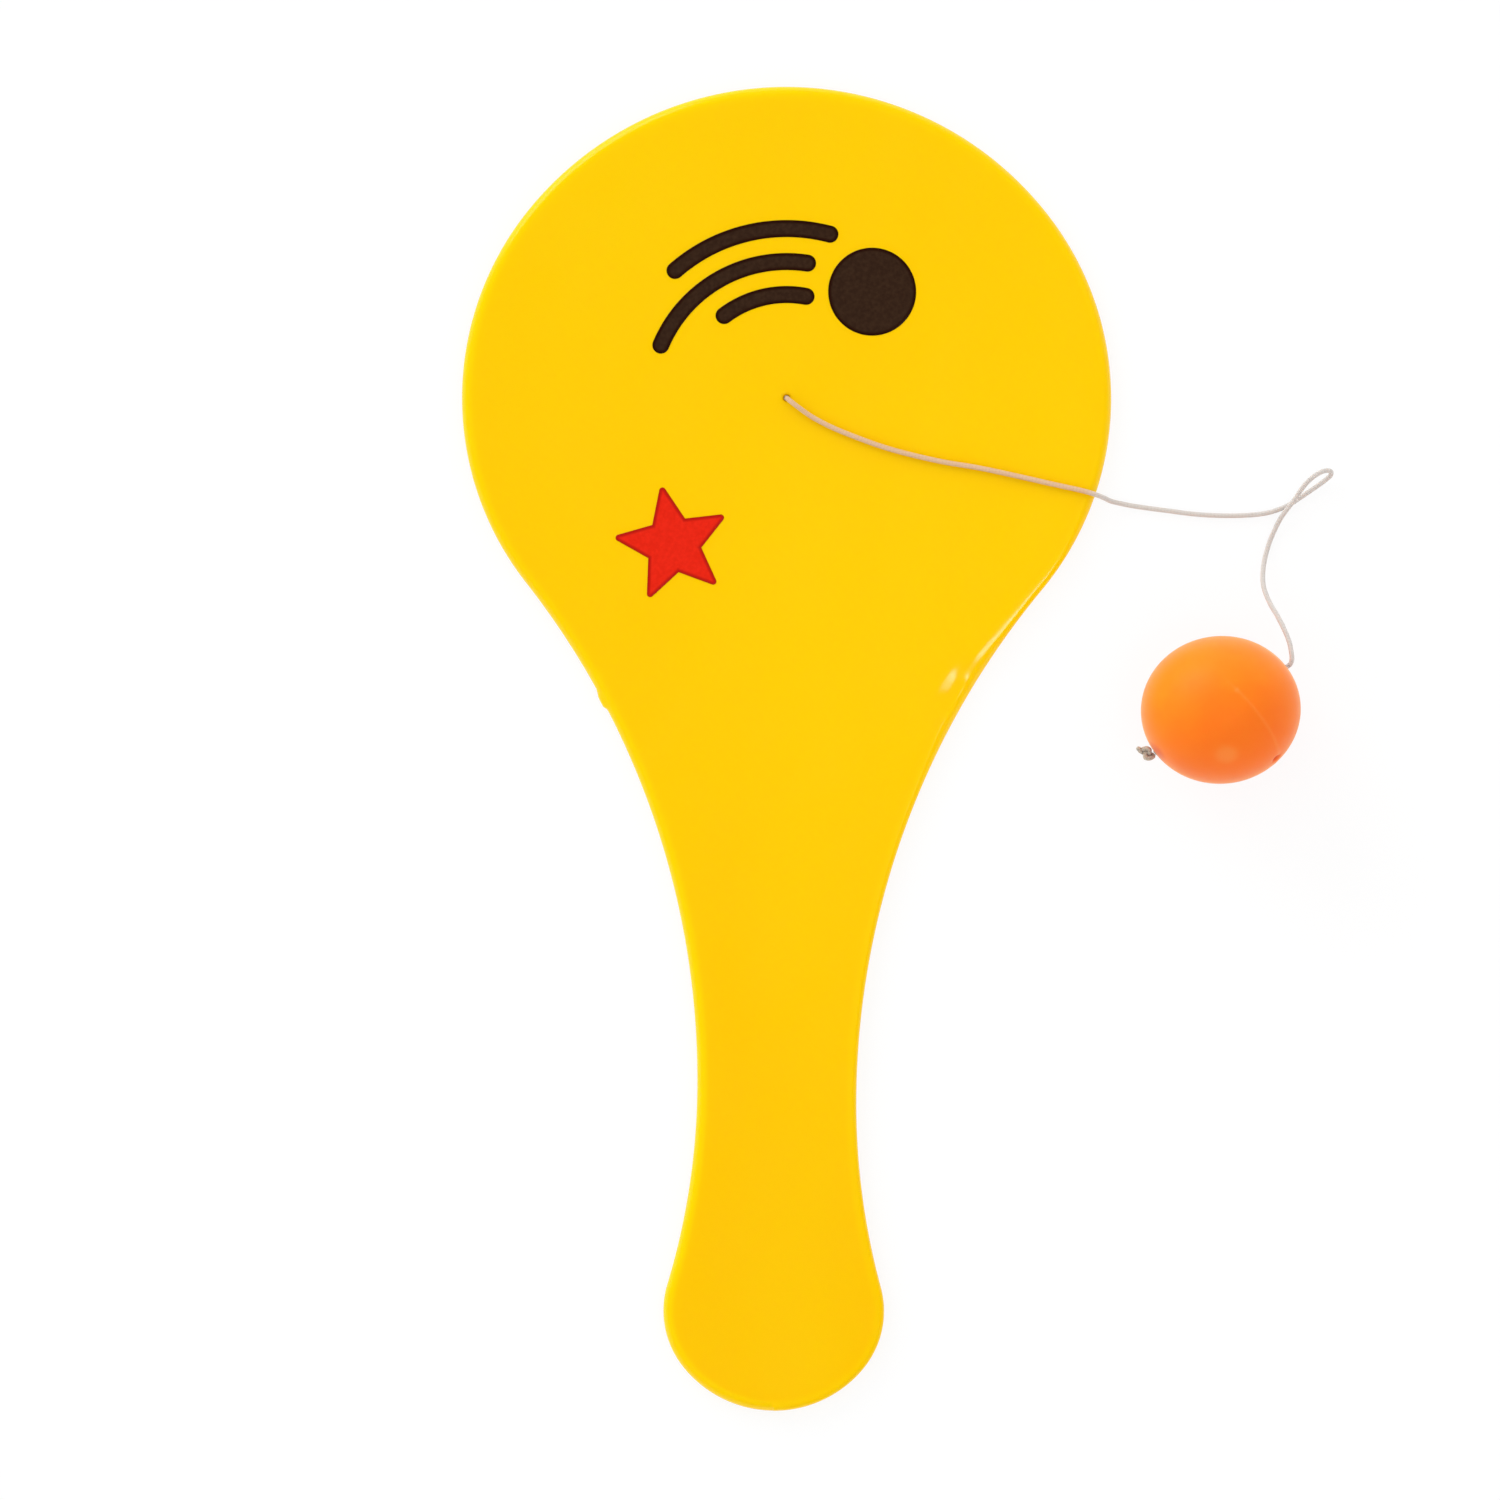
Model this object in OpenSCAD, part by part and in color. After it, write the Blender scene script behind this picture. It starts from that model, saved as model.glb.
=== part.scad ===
// Paddle ball game: a flat moulded paddle, an elastic cord tied through its blade, and a rubber ball
// on the cord's other end.
// It lies on its back: +Z leaves the printed face, and +Y runs from the handle to the blade's tip.
// The origin is the centre of the cord hole, in the plane that the paddle rests on.

/* [Paddle] */
// Length of the paddle, from the blade's tip to the butt of the handle
paddle_len = 241; // [228:1:256]
// Width of the blade
blade_w = 118.2; // [108:0.1:130]
// Distance from the cord hole, which lies on the blade's widest line, to the blade's tip
tip_above_hole = 56.7; // [52:0.1:62]
// Width of the grip at its waist
grip_w = 29; // [25:0.5:32]
// Distance of the waist from the end of the butt
waist_above_butt = 58; // [50:0.5:66]
// Width of the butt
butt_w = 40.2; // [36:0.1:46]
// Distance of the butt's widest line from its end
butt_cap_h = 18.2; // [15:0.1:21]
// Thickness of the plate
plate_t = 3.2; // [2.6:0.1:4.5]
// Radius of the rounded edge, front and back
edge_r = 1.4; // [0.6:0.1:2]

/* [Cord hole] */
// Diameter of the hole for the cord
hole_d = 1.4; // [1.2:0.1:3]
// Diameter of the recess in the back that holds the knot
recess_d = 6.5; // [5:0.1:9]
// Thickness of plate left over the recess
web_t = 1.2; // [0.8:0.1:1.6]

/* [Print] */
// Thickness of the ink
ink_t = 0.1; // [0.05:0.01:0.2]
// Width of the printed strokes
stroke_w = 3.1; // [2:0.1:4]
// Radius of the printed dot
dot_r = 8; // [5:0.5:9]
// Distance between the middles of two strokes
stroke_pitch = 6; // [4.5:0.1:7]
// Radius of the star, to its tips
star_r = 11.5; // [8:0.5:13]
// Radius that rounds the star's tips
star_tip_r = 0.6; // [0.3:0.1:1]

/* [Cord] */
// Diameter of the elastic cord
cord_d = 0.9; // [0.7:0.05:1.1]
// Diameter of the knot behind the blade
paddle_knot_d = 3.4; // [2.6:0.1:4.4]
// Diameter of the knot on the ball
ball_knot_d = 3.2; // [2.6:0.1:4.4]
// Height of the knot on the ball, along the cord
ball_knot_h = 2.2; // [1.6:0.1:2.4]

/* [Ball] */
// Diameter of the ball across its wide way
ball_d = 29; // [27:0.1:31]
// Diameter of the ball across its narrow way
ball_short_d = 26.8; // [25:0.1:31]
// Distance of the ball's centre from the cord hole as the game lies
ball_reach = 97; // [94:0.5:110]
// Direction of the ball from the cord hole, turned from +X
ball_angle = -35; // [-45:1:-25]
// Direction of the bore through the ball, turned from +X
bore_angle = 34; // [28:1:40]

/* [Hidden] */

// Overrun of every cut past the face that it opens
cut = 1;
// Sides of true round shapes
$fn = 64;
// Largest turn, and largest distance, between two points of a curved edge
step_turn = 5;
step_len = 6;
// Steps round each rounded edge of the plate
edge_steps = 4;

// Outline of the paddle
butt_y = tip_above_hole - paddle_len;
waist_y = butt_y + waist_above_butt;
butt_wide_y = butt_y + butt_cap_h;
// Largest share of the plate's thickness that one rounded edge may take
edge_limit_share = 0.46;
plate_edge_r = min(edge_r, edge_limit_share * plate_t);
// Mark left where the moulding gate was cut off, on the left of the neck
gate_r = 2.2;
gate_proud = 0.45;
gate_t = 1.6;
// Share of the neck's turn, from the waist up, at which the gate mark lies
gate_share = 0.74;

// Place of the print, all of it about the cord hole: shares of the blade's half width, and
// directions from +X
print_orbit_share = 0.42;
dot_angle = 52;
// The strokes behind the dot: distance outwards from the dot's own circle in stroke pitches, start and end
stroke_shares = [-1, 0, 1];
stroke_start_angles = [80, 82, 76];
stroke_end_angles = [128, 158, 132];
star_reach_share = 0.57;
star_angle = 233;
star_turn = 102;
star_tips = 5;
// Radius between the star's tips, as a share of its radius to them
star_waist_share = 0.45;

// Clearances of the two knots, the cord and the bore
knot_floor_gap = 0.25;
knot_seat_gap = 0.15;
bore_clearance = 0.1;
// Height of the cord's lowest side over the printed face, and over the floor
cord_face_gap = 0.15;
cord_floor_gap = 0.05;
// Length of cord that stands out of the hole, and out of the ball, before it turns
mouth_rise = 0.8;
ball_stub = 0.6;

cord_r = cord_d / 2;
face_z = plate_t;
paddle_knot_top = plate_t - web_t - knot_seat_gap;
paddle_knot_h = min(paddle_knot_top - knot_floor_gap, paddle_knot_d);
mouth = [0, 0, face_z + mouth_rise];

// Ball as it lies on the floor, its narrow way turned a little from +Y
ball_r = ball_d / 2;
ball_short_r = ball_short_d / 2;
ball_turn = 6;
ball_at = [ball_reach * cos(ball_angle), ball_reach * sin(ball_angle), ball_r];
bore_dir = [cos(bore_angle), sin(bore_angle), 0];
// Distance from the ball's centre to its surface along the bore
bore_reach = 1 / norm([
    cos(bore_angle - ball_turn) / ball_r,
    sin(bore_angle - ball_turn) / ball_short_r
]);
ball_exit = ball_at + (bore_reach + ball_stub) * bore_dir;

// Route of the cord over the blade: x, y and how far its middle is above the height at which it
// lies there
blade_route = [
    [1.1, -0.9, 0.8], [2.2, -1.7, 0.6], [3.6, -2.7, 0.2], [5.4, -3.8, 0], [8.7, -5.4, 0],
    [13.1, -7.1, 0], [17.5, -8.6, 0], [21.9, -9.8, 0], [28.5, -11.2, 0], [35, -12.2, 0],
    [41.6, -13.5, 0], [48.2, -14.9, 0], [54, -16.1, 0], [56.2, -16.7, -0.2]
];
// Route of the cord past the blade's edge: x, y and how far its middle is above the height at which
// it lies on the floor. It drops to the floor, turns up into a small loop, crosses over itself and
// climbs to the ball.
floor_route = [
    [57.9, -17.3, 2.2], [59.3, -17.9, 1], [61.1, -18.3, 0.2], [64, -18.8, 0], [69, -19.4, 0],
    [75.5, -20.1, 0], [82, -20.2, 0], [87.4, -19.7, 0], [91.2, -18.4, 0], [93.4, -17, 0],
    [95.4, -15.6, 0], [97.1, -14.4, 0.1], [98.5, -13.3, 0.5], [99.2, -12.6, 1.3], [99.2, -12, 2.2],
    [98.5, -11.8, 2.8], [97.4, -12.1, 3.3], [96.1, -12.9, 3.4], [94.8, -14.1, 3], [93.8, -15.4, 2.4],
    [92.8, -17, 1.8], [91.6, -18.6, 1.3], [90.4, -20.3, 0.8], [89.5, -22, 0.3], [88.3, -24.9, 0.1],
    [87.5, -27.8, 0.7], [87.1, -30.5, 2.2], [87.2, -33.1, 4.3], [88.2, -35.9, 6.7], [89.6, -38.4, 9.1],
    [90.8, -40.8, 11.2], [91.7, -43.1, 12.8], [92.1, -45, 13.7], [92.2, -46.4, 14.1]
];
// Distance between two rings of the cord's tube, in diameters, and the sides of each ring
ring_pitch_share = 2.6;
ring_sides = 8;

// Arcs of an oval's quarter: an arc at the side that turns into a tighter or wider one at the end.
// w is the oval's half width, and h is its height from the widest line to its end.
function side_arc_r(w, h) = h * h / w;
function end_arc_r(w, h) = w * (w + h) / (2 * h);
function end_arc_turn(w, h) = atan(2 * h * (w + h) / (w * (w + 2 * h)));

// Slope of the bend between two arcs that carry the outline across by w over the length h
function bend_slope(w, h) = 2 * atan(w / h);
// Sum of those two arcs' radii
function bend_r(w, h) = w / (1 - cos(bend_slope(w, h)));

// Arcs of the outline's right side, from the tip round to the butt's end, each as
// [centre, radius, first and last direction of its normal turned from +Y]; a hollow arc has a minus radius
function outline_arcs() =
    let (
        blade = blade_w / 2,
        grip = grip_w / 2,
        butt = butt_w / 2,
        tip_r = end_arc_r(blade, tip_above_hole),
        blade_side_r = side_arc_r(blade, tip_above_hole),
        tip_turn = end_arc_turn(blade, tip_above_hole),
        butt_end_r = end_arc_r(butt, butt_cap_h),
        butt_side_r = side_arc_r(butt, butt_cap_h),
        butt_turn = 180 - end_arc_turn(butt, butt_cap_h),
        neck_slope = bend_slope(blade - grip, -waist_y),
        neck_r = bend_r(blade - grip, -waist_y) - blade_side_r,
        flare_slope = bend_slope(butt - grip, waist_y - butt_wide_y),
        flare_r = bend_r(butt - grip, waist_y - butt_wide_y) - butt_side_r
    )
    [
        [[0, tip_above_hole - tip_r], tip_r, 0, tip_turn],
        [[blade - blade_side_r, 0], blade_side_r, tip_turn, 90 + neck_slope],
        [[grip + neck_r, waist_y], -neck_r, 90 + neck_slope, 90],
        [[grip + flare_r, waist_y], -flare_r, 90, 90 - flare_slope],
        [[butt - butt_side_r, butt_wide_y], butt_side_r, 90 - flare_slope, butt_turn],
        [[0, butt_y + butt_end_r], butt_end_r, butt_turn, 180]
    ];

// Steps of one arc, enough for its turn and for its length
function arc_steps(arc) =
    let (turn = abs(arc[3] - arc[2]))
    ceil(max(turn / step_turn, PI * abs(arc[1]) * turn / 180 / step_len));

// Points of the right side between the tip and the butt's end, each as [x, y, normal's x, normal's y]
function side_points() = [
    for (arc = outline_arcs())
        let (steps = arc_steps(arc))
        for (i = [0 : steps - 1])
            let (turn = arc[2] + (arc[3] - arc[2]) * (i + 0.5) / steps, out = [sin(turn), cos(turn)])
            concat(arc[0] + arc[1] * out, out)
];

// One closed ring of the outline, drawn in by inset at the height z
function outline_ring(side, inset, z) = concat(
    [[0, tip_above_hole - inset, z]],
    [for (p = side) [p[0] - inset * p[2], p[1] - inset * p[3], z]],
    [[0, butt_y + inset, z]],
    [for (i = [len(side) - 1 : -1 : 0])
        let (p = side[i]) [-(p[0] - inset * p[2]), p[1] - inset * p[3], z]]
);

// Plate with both edges rounded, as rings of the outline joined into one skin
module rounded_plate() {
    side = side_points();
    count = 2 * len(side) + 2;
    half = len(side) + 1;
    turns = [for (i = [0 : edge_steps]) 90 * i / edge_steps];
    lower = [for (a = turns) [plate_edge_r * (1 - sin(a)), plate_edge_r * (1 - cos(a))]];
    upper = [for (a = turns) [plate_edge_r * (1 - cos(a)), plate_t - plate_edge_r * (1 - sin(a))]];
    rings = concat(lower, upper);
    points = [for (r = rings) each outline_ring(side, r[0], r[1])];
    wall = [
        for (k = [0 : len(rings) - 2])
            for (i = [0 : count - 1])
                let (a = k * count + i, b = k * count + (i + 1) % count)
                [a, b, b + count, a + count]
    ];
    strips = [for (i = [0 : half - 1]) [i, i + 1, (count - i - 1) % count, (count - i) % count]];
    top = (len(rings) - 1) * count;
    back = [for (s = strips) [for (i = [3 : -1 : 0]) s[i]]];
    front = [for (s = strips) [for (i = [0 : 3]) top + s[i]]];
    caps = [for (f = concat(back, front)) dedupe(f)];
    polyhedron(points = points, faces = concat(wall, caps), convexity = 4);
}

// Drops the repeated corner of a face at the tip and at the butt's end
function dedupe(face) = [for (i = [0 : 3]) if (face[i] != face[(i + 3) % 4]) face[i]];

// Stands a piece in the left side of the neck, at the place of the gate mark
module at_gate() {
    neck = outline_arcs()[2];
    turn = neck[3] + gate_share * (neck[2] - neck[3]);
    out = [sin(turn), cos(turn)];
    at = neck[0] + neck[1] * out - (gate_r - gate_proud) * out;
    translate([-at[0], at[1], 0]) children();
}

// Disc with a fully rounded rim, standing on z = 0
module round_rimmed_disc(d, h) {
    rotate_extrude() {
        square([(d - h) / 2, h]);
        translate([(d - h) / 2, h / 2]) intersection() {
            circle(d = h);
            translate([0, -h / 2]) square([h / 2, h]);
        }
    }
}

// Stroke of ink bent round the cord hole, with round ends
module stroke(radius, from, to) {
    rotate([0, 0, from]) rotate_extrude(angle = to - from)
        translate([radius - stroke_w / 2, 0]) square([stroke_w, ink_t]);
    for (a = [from, to])
        rotate([0, 0, a]) translate([radius, 0, 0]) cylinder(d = stroke_w, h = ink_t);
}

module paddle() {
    color("#fecd06") difference() {
        union() {
            rounded_plate();
            at_gate() translate([0, 0, (plate_t - gate_t) / 2]) cylinder(r = gate_r, h = gate_t);
        }
        translate([0, 0, -cut]) cylinder(d = hole_d, h = plate_t + 2 * cut);
        translate([0, 0, -cut]) cylinder(d = recess_d, h = plate_t - web_t + cut);
    }
}

// Dot with three strokes trailing behind it, all round the cord hole
module print_dark() {
    orbit = print_orbit_share * blade_w / 2;
    color("#37251a") translate([0, 0, face_z]) {
        rotate([0, 0, dot_angle]) translate([orbit, 0, 0]) cylinder(r = dot_r, h = ink_t);
        for (i = [0 : len(stroke_shares) - 1])
            stroke(orbit + stroke_shares[i] * stroke_pitch, stroke_start_angles[i], stroke_end_angles[i]);
    }
}

// Five-pointed star with rounded tips
module print_red() {
    reach = star_reach_share * blade_w / 2;
    color("#e5290d") translate([reach * cos(star_angle), reach * sin(star_angle), face_z])
        rotate([0, 0, star_turn]) linear_extrude(ink_t)
            offset(r = star_tip_r, $fn = 24) offset(delta = -star_tip_r)
                polygon([for (i = [0 : 2 * star_tips - 1])
                    (i % 2 == 0 ? star_r : star_r * star_waist_share)
                        * [cos(180 * i / star_tips), sin(180 * i / star_tips)]]);
}

// Knot pressed into the recess, under the web that it pulls against
module paddle_knot() {
    color("#d1b29a") translate([0, 0, paddle_knot_top - paddle_knot_h])
        round_rimmed_disc(paddle_knot_d, paddle_knot_h);
}

module cord_in_paddle() {
    color("#dcd2d0") translate([0, 0, paddle_knot_top])
        cylinder(d = cord_d, h = mouth[2] - paddle_knot_top);
}

// Points of the cord's middle from the hole's mouth to the ball, with the slope at each.
// Between two points it runs on a cubic that keeps both slopes.
function unit(v) = v / norm(v);
function route_points() = concat(
    [mouth],
    [for (p = blade_route) p + [0, 0, face_z + cord_r + cord_face_gap]],
    [for (p = floor_route) p + [0, 0, cord_r + cord_floor_gap]],
    [ball_exit]
);
function route_slopes(route) = [
    for (i = [0 : len(route) - 1])
        i == 0 ? unit(concat([route[1][0], route[1][1]], norm([route[1][0], route[1][1]])))
        : i == len(route) - 1 ? -bore_dir
        : (route[i + 1] - route[i - 1]) / (norm(route[i + 1] - route[i]) + norm(route[i] - route[i - 1]))
];
function cubic(a, b, da, db, t) =
    (2 * t ^ 3 - 3 * t ^ 2 + 1) * a + (t ^ 3 - 2 * t ^ 2 + t) * da
    + (3 * t ^ 2 - 2 * t ^ 3) * b + (t ^ 3 - t ^ 2) * db;
function smooth_route() =
    let (route = route_points(), slopes = route_slopes(route))
    concat(
        [for (i = [0 : len(route) - 2])
            let (
                run = norm(route[i + 1] - route[i]),
                steps = max(1, round(run / (ring_pitch_share * cord_d)))
            )
            for (k = [0 : steps - 1])
                cubic(route[i], route[i + 1], run * slopes[i], run * slopes[i + 1], k / steps)],
        [ball_exit]
    );

// Free stretch of the cord, as a tube whose first and last rings are square to what they meet
module elastic_cord() {
    path = smooth_route();
    last = len(path) - 1;
    ahead = [for (i = [0 : last])
        i == 0 ? [0, 0, 1] : i == last ? -bore_dir : unit(path[i + 1] - path[i - 1])];
    sides = [
        for (i = 0, s = [1, 0, 0]; i <= last;
            i = i + 1, s = i > last ? s : unit(s - (s * ahead[i]) * ahead[i]))
            s
    ];
    points = [
        for (i = [0 : last], k = [0 : ring_sides - 1])
            let (a = 360 * k / ring_sides)
            path[i] + cord_r * (cos(a) * sides[i] + sin(a) * cross(ahead[i], sides[i]))
    ];
    wall = [
        for (i = [0 : last - 1], k = [0 : ring_sides - 1])
            let (a = i * ring_sides + k, b = i * ring_sides + (k + 1) % ring_sides)
            each [[a, a + ring_sides, b + ring_sides], [a, b + ring_sides, b]]
    ];
    ends = [
        [for (k = [0 : ring_sides - 1]) k],
        [for (k = [ring_sides - 1 : -1 : 0]) last * ring_sides + k]
    ];
    color("#dcd2d0") polyhedron(points = points, faces = concat(wall, ends), convexity = 6);
    echo(cord_length = path_length(path), rings = len(path));
}

function path_length(path, i = 1) =
    i >= len(path) ? 0 : norm(path[i] - path[i - 1]) + path_length(path, i + 1);

// Lays a piece that stands along +Z along the bore, from the ball's centre
module along_bore() {
    translate(ball_at) rotate([0, 90, bore_angle]) children();
}

// Cord from its knot, through the ball, to where it leaves it
module cord_in_ball() {
    color("#dcd2d0") along_bore() translate([0, 0, -bore_reach - knot_seat_gap])
        cylinder(d = cord_d, h = 2 * bore_reach + knot_seat_gap + ball_stub);
}

module ball_knot() {
    color("#d1b29a") along_bore() translate([0, 0, -bore_reach - knot_seat_gap - ball_knot_h])
        round_rimmed_disc(ball_knot_d, ball_knot_h);
}

// Slightly flattened rubber ball with a bore for the cord
module ball() {
    steps = 180 / step_turn;
    color("#fd7f1f") difference() {
        translate(ball_at) rotate([90, 0, ball_turn]) rotate_extrude()
            polygon([for (i = [0 : steps])
                let (a = -90 + i * step_turn)
                [i == 0 || i == steps ? 0 : ball_r * cos(a), ball_short_r * sin(a)]]);
        along_bore() translate([0, 0, -bore_reach - cut])
            cylinder(d = cord_d + 2 * bore_clearance, h = 2 * (bore_reach + cut));
    }
}

paddle();
print_dark();
print_red();
paddle_knot();
cord_in_paddle();
elastic_cord();
cord_in_ball();
ball_knot();
ball();
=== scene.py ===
"""Paddle ball game: a moulded yellow paddle with a pad-printed face, and a rubber ball on an elastic cord.

It lies on its back on a white floor, with the cord hole at the origin and the tip along +Y. Lengths are in
millimetres, and mm() turns them to metres.
"""

import math

import bmesh
import bpy
from mathutils import Matrix, Vector, noise
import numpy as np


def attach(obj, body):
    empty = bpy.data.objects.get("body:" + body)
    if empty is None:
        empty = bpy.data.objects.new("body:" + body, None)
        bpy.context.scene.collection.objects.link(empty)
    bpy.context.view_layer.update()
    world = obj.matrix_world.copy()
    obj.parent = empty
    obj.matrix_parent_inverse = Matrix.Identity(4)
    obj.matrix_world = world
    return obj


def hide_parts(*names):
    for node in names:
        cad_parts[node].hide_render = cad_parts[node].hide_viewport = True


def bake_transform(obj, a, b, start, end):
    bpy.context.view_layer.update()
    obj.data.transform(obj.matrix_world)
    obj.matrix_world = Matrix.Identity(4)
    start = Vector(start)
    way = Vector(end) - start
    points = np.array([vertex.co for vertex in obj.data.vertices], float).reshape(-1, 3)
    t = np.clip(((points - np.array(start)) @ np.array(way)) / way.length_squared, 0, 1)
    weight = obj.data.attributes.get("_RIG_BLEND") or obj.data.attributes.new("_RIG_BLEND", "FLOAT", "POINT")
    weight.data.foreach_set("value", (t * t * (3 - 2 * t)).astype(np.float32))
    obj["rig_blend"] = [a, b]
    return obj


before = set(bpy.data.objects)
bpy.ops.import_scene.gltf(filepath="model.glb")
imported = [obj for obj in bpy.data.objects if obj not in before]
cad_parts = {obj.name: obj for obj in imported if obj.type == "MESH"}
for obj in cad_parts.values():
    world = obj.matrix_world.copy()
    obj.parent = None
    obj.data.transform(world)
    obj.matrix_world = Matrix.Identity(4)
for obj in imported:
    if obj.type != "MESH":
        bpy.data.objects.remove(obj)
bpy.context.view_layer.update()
scene = bpy.context.scene
scene.view_settings.view_transform = "Standard"

# Sizes of the paddle, its print, the cord and the ball, which the CAD part has too
PADDLE_LEN = 241.0
BLADE_W = 118.2
TIP_ABOVE_HOLE = 56.7
GRIP_W = 29.0
WAIST_ABOVE_BUTT = 58.0
BUTT_W = 40.2
BUTT_CAP_H = 18.2
PLATE_T = 3.2
HOLE_D = 1.4
RECESS_D = 6.5
WEB_T = 1.2
STROKE_W = 3.1
DOT_R = 8.0
STROKE_PITCH = 6.0
STAR_R = 11.5
STAR_TIP_R = 0.6
CORD_D = 0.9
CORD_R = CORD_D / 2
MOUTH_RISE = 0.8
BALL_D = 29.0
BALL_SHORT_D = 26.8
BALL_TURN = 6.0
BALL_REACH = 97.0
BALL_ANGLE = -35.0
BALL_STUB = 0.6
BORE_ANGLE = 34.0
BORE_CLEARANCE = 0.1
# Overrun of every cut past the face that it opens
CUT = 1.0


def mm(value):
    """Millimetres, a number or a vector, as metres."""
    return value * 0.001


def around(angle, reach=1.0, z=0.0):
    """Point at that reach and direction, in degrees from +X."""
    turn = math.radians(angle)
    return Vector((reach * math.cos(turn), reach * math.sin(turn), z))


def fade(value, low, high):
    """0 at low, 1 at high, and smooth between them."""
    share = min(1.0, max(0.0, (value - low) / (high - low)))
    return share * share * (3 - 2 * share)


# Camera. The lens is long, as on a copy stand, so that the ball, which stands higher than the paddle, isn't
# drawn larger. The frame's width is that of the photograph at the plate's middle height.
FRAME_W = 273.0
FRAME_MIDDLE = (-5.755, -64.115)
FRAME_TURN = 0.81
LENS = 400.0
SENSOR = 36.0

camera_data = bpy.data.cameras.new("copy_stand_camera")
camera_data.lens = LENS
camera_data.sensor_width = SENSOR
camera_data.clip_start = 0.1
camera_data.clip_end = 20.0
camera = bpy.data.objects.new("copy_stand_camera", camera_data)
scene.collection.objects.link(camera)
camera.location = mm(Vector((*FRAME_MIDDLE, FRAME_W * LENS / SENSOR + PLATE_T / 2)))
camera.rotation_euler = (0, 0, math.radians(FRAME_TURN))
scene.camera = camera


def linear(colour):
    """A hex sRGB colour as linear RGBA."""
    channels = [int(colour[i : i + 2], 16) / 255 for i in (1, 3, 5)]
    return [c / 12.92 if c <= 0.04045 else ((c + 0.055) / 1.055) ** 2.4 for c in channels] + [1.0]


def emptied_tree(owner):
    """The node tree of a material or a world, emptied."""
    owner.use_nodes = True
    owner.node_tree.nodes.clear()
    return owner.node_tree


def add(tree, kind, settings=(), inputs=(), links=(), stops=()):
    """Adds a node. settings are its properties, inputs its sockets' values, links what feeds them (a node
    stands for its first output), and stops the places and colours of a colour ramp."""
    node = tree.nodes.new(kind)
    for name, value in dict(settings).items():
        setattr(node, name, value)
    for name, value in dict(inputs).items():
        node.inputs[name].default_value = value
    for name, source in dict(links).items():
        output = source.outputs[0] if isinstance(source, bpy.types.Node) else source
        tree.links.new(output, node.inputs[name])
    if stops:
        elements = node.color_ramp.elements
        while len(elements) < len(stops):
            elements.new(1.0)
        for element, (place, colour) in zip(elements, stops):
            element.position = place
            element.color = linear(colour)
    return node


def start_material(name):
    """A material with an emptied node tree, and the Object coordinates that its patterns follow."""
    material = bpy.data.materials.new(name)
    tree = emptied_tree(material)
    return material, tree, add(tree, "ShaderNodeTexCoord").outputs["Object"]


def end_material(tree, values, colour, relief, rough=None):
    """Adds the shader with its plain values. relief is a pattern and its height in millimetres, and rough a
    pattern and the two values between which the roughness follows it."""
    pattern, height = relief
    bump = add(tree, "ShaderNodeBump", inputs={"Distance": mm(height)}, links={"Height": pattern})
    links = {"Base Color": colour, "Normal": bump}
    if rough:
        pattern, low, high = rough
        spread = {"To Min": low, "To Max": high}
        links["Roughness"] = add(tree, "ShaderNodeMapRange", inputs=spread, links={"Value": pattern})
    shader = add(tree, "ShaderNodeBsdfPrincipled", inputs=values, links=links)
    add(tree, "ShaderNodeOutputMaterial", links={"Surface": shader})


def yellow_polypropylene():
    # Injection-moulded polypropylene from a polished mould: an even, saturated yellow with a clean gloss, a
    # faint mottle where the melt flowed, and a fine orange peel.
    material, tree, place = start_material("moulded_polypropylene_yellow")
    # The flow marks are 34 mm across, and longer along the paddle
    drawn_out = add(tree, "ShaderNodeMapping", inputs={"Scale": (1, 0.35, 1)}, links={"Vector": place})
    flow = add(
        tree, "ShaderNodeTexNoise", inputs={"Scale": 1 / mm(34), "Detail": 3}, links={"Vector": drawn_out}
    )
    # The colour deepens a little from the blade to the handle, by one whole ramp in 400 mm
    along = add(tree, "ShaderNodeSeparateXYZ", links={0: place}).outputs["Y"]
    tone = add(tree, "ShaderNodeMath", {"operation": "MULTIPLY_ADD"}, {1: 1 / mm(400)}, {0: along, 2: flow})
    body = add(
        tree,
        "ShaderNodeValToRGB",
        links={"Fac": tone},
        stops=((0.0, "#FFC500"), (0.3, "#FFC900"), (0.7, "#FFCC00")),
    )
    # Painted light: a paler yellow is painted along the rounded rim, fuller on the left, where the key light falls
    rim = add(tree, "ShaderNodeAttribute", {"attribute_name": "painted_rim_light"}).outputs["Fac"]
    colour = add(
        tree, "ShaderNodeMix", {"data_type": "RGBA"}, {"B": linear("#FFD100")}, {"Factor": rim, "A": body}
    )
    haze = add(tree, "ShaderNodeTexNoise", inputs={"Scale": 1 / mm(9), "Detail": 4}, links={"Vector": place})
    peel = add(tree, "ShaderNodeTexNoise", inputs={"Scale": 1 / mm(1.6)}, links={"Vector": place})
    values = {
        "IOR": 1.49,
        "Specular IOR Level": 0.25,
        "Subsurface Weight": 0.3,
        "Subsurface Scale": mm(1.5),
        "Subsurface Radius": (1.0, 0.6, 0.1),
    }
    end_material(tree, values, colour.outputs[2], relief=(peel, 0.004), rough=(haze, 0.10, 0.15))
    return material


def pad_ink(name, body, speckle, rim):
    # Pad-printing ink: a satin film with a fine speckle, a little darker round its rim, where it gathers.
    material, tree, place = start_material(name)
    grain = add(
        tree, "ShaderNodeTexNoise", inputs={"Scale": 1 / mm(0.7), "Detail": 3}, links={"Vector": place}
    )
    film = add(tree, "ShaderNodeValToRGB", links={"Fac": grain}, stops=((0.35, body), (0.7, speckle)))
    inside = add(tree, "ShaderNodeAttribute", {"attribute_name": "from_rim"}).outputs["Fac"]
    colour = add(
        tree, "ShaderNodeMix", {"data_type": "RGBA"}, {"A": linear(rim)}, {"Factor": inside, "B": film}
    )
    values = {"IOR": 1.5, "Specular IOR Level": 0.2}
    end_material(tree, values, colour.outputs[2], relief=(grain, 0.003), rough=(grain, 0.17, 0.25))
    return material


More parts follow.
